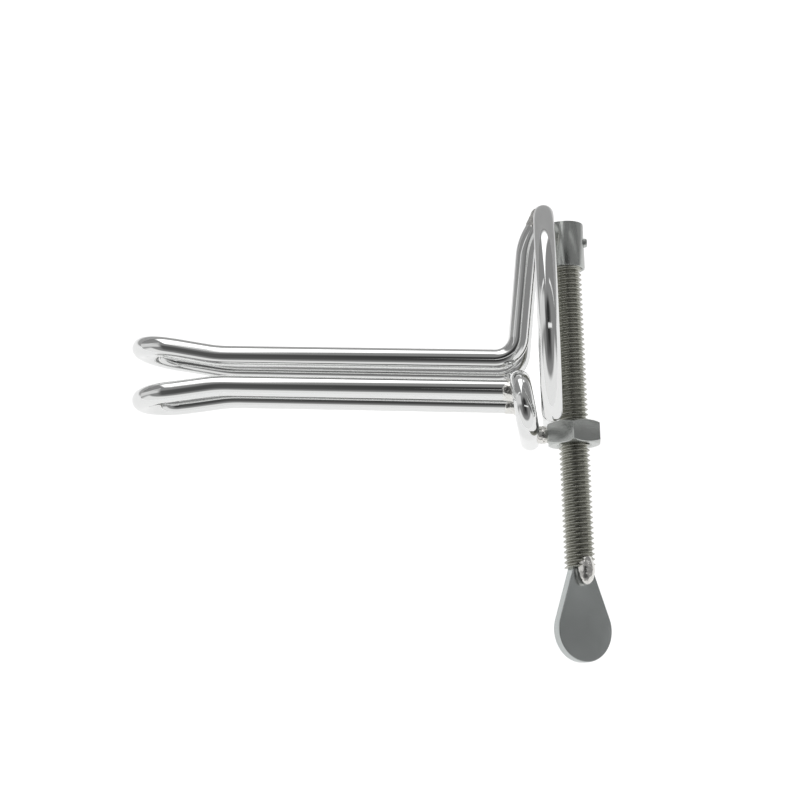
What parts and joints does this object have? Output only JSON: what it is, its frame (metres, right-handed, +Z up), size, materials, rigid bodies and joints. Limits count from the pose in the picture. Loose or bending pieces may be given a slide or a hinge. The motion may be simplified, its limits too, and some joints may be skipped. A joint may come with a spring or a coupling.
{
  "type": "bivalve wire speculum",
  "caption": "Two hairpin wire blades on wire frames, held together by a screw in a swivel sleeve and a nut; turning the thumb tab spreads the blades in parallel.",
  "frame": {"origin": "centre of the whole object's box, with the blades closed", "axes": "+X from the blade tips to the operator's side, +Y along the screw from the thumb tab to the swivel sleeve, +Z up, with the instrument lying on its side"},
  "size_m": [0.0924, 0.089, 0.048],
  "materials": {
    "polished_wire": "mirror polished",
    "machined_steel": "satin",
    "weld_metal": "as brazed"
  },
  "bodies": {
    "upper_frame": {"upper_blade": "polished_wire", "frame_ring": "polished_wire", "riser_welds": "weld_metal", "swivel_sleeve": "machined_steel", "sleeve_braze": "weld_metal", "retaining_pin": "machined_steel"},
    "spindle": {"threaded_spindle": "machined_steel", "thumb_tab": "machined_steel", "tab_braze": "weld_metal"},
    "lower_frame": {"lower_blade": "polished_wire", "lower_loop": "polished_wire", "loop_welds": "weld_metal", "hex_nut": "machined_steel", "nut_braze": "weld_metal"}
  },
  "joints": [
    {"name": "spindle_turn", "type": "hinge", "parent": "upper_frame", "child": "spindle", "pos_m": [0.04079, 0.03245, 0], "axis": [0, 1, 0], "range_deg": [0, 6840]},
    {"name": "blade_spread", "type": "slide", "parent": "upper_frame", "child": "lower_frame", "axis": [0, -1, 0], "range_m": [0, 0.019]}
  ],
  "couplings": [
    {"joint": "spindle_turn", "follows": "blade_spread", "rad_per_m": 6283.2}
  ]
}
